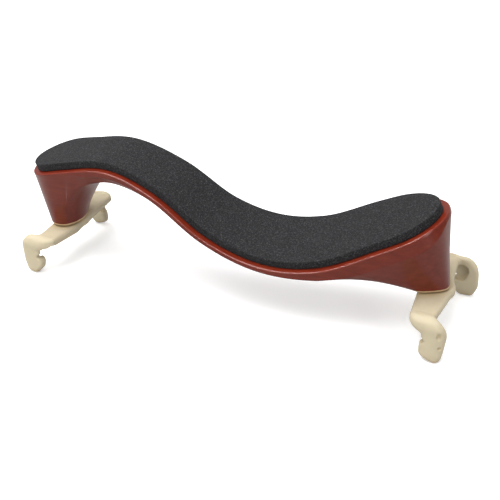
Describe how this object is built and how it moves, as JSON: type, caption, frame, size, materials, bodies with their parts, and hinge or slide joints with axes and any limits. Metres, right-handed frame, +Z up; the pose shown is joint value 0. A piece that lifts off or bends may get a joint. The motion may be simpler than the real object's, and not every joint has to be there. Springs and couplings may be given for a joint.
{
  "type": "violin shoulder rest",
  "caption": "S-curved maple bridge with a foam pad on top, standing on screw-in clawed feet that grip the edges of a violin's back.",
  "frame": {"origin": "on the table under the four claws, midway between the two screw axes", "axes": "+X towards the chest end along the length, +Y to the back, +Z up"},
  "size_m": [0.2366, 0.0656, 0.0714],
  "materials": {
    "lacquered_maple": "red-brown gloss lacquer, bare wood at the block bases",
    "foam": "matt charcoal closed-cell foam",
    "brass": "turned brass",
    "steel": "bright zinc-plated steel",
    "ivory_plastic": "satin ivory moulded plastic",
    "cream_rubber": "soft cream rubber"
  },
  "bodies": {
    "bridge": {"wood_bridge": "lacquered_maple", "foam_pad": "foam", "insert_shoulder": "brass", "insert_chest": "brass"},
    "shoulder_screw": {"stud_shoulder": "steel"},
    "shoulder_foot": {"foot_shoulder": "ivory_plastic", "boot_shoulder_front": "cream_rubber", "boot_shoulder_back": "cream_rubber"},
    "chest_screw": {"stud_chest": "steel"},
    "chest_foot": {"foot_chest": "ivory_plastic", "boot_chest_front": "cream_rubber", "boot_chest_back": "cream_rubber"}
  },
  "joints": [
    {"name": "shoulder_height", "type": "slide", "parent": "bridge", "child": "shoulder_screw", "axis": [0, 0, -1], "range_m": [-0.0008, 0.008]},
    {"name": "shoulder_swivel", "type": "hinge", "parent": "shoulder_screw", "child": "shoulder_foot", "pos_m": [-0.0992, 0, 0.02], "axis": [0, 0, -1], "range_deg": [-361, 3601]},
    {"name": "chest_height", "type": "slide", "parent": "bridge", "child": "chest_screw", "axis": [0, 0, -1], "range_m": [-0.0008, 0.008]},
    {"name": "chest_swivel", "type": "hinge", "parent": "chest_screw", "child": "chest_foot", "pos_m": [0.0992, 0, 0.02], "axis": [0, 0, -1], "range_deg": [-361, 3601]}
  ],
  "couplings": [
    {"joint": "shoulder_swivel", "follows": "shoulder_height", "rad_per_m": 7854},
    {"joint": "chest_swivel", "follows": "chest_height", "rad_per_m": 7854}
  ]
}
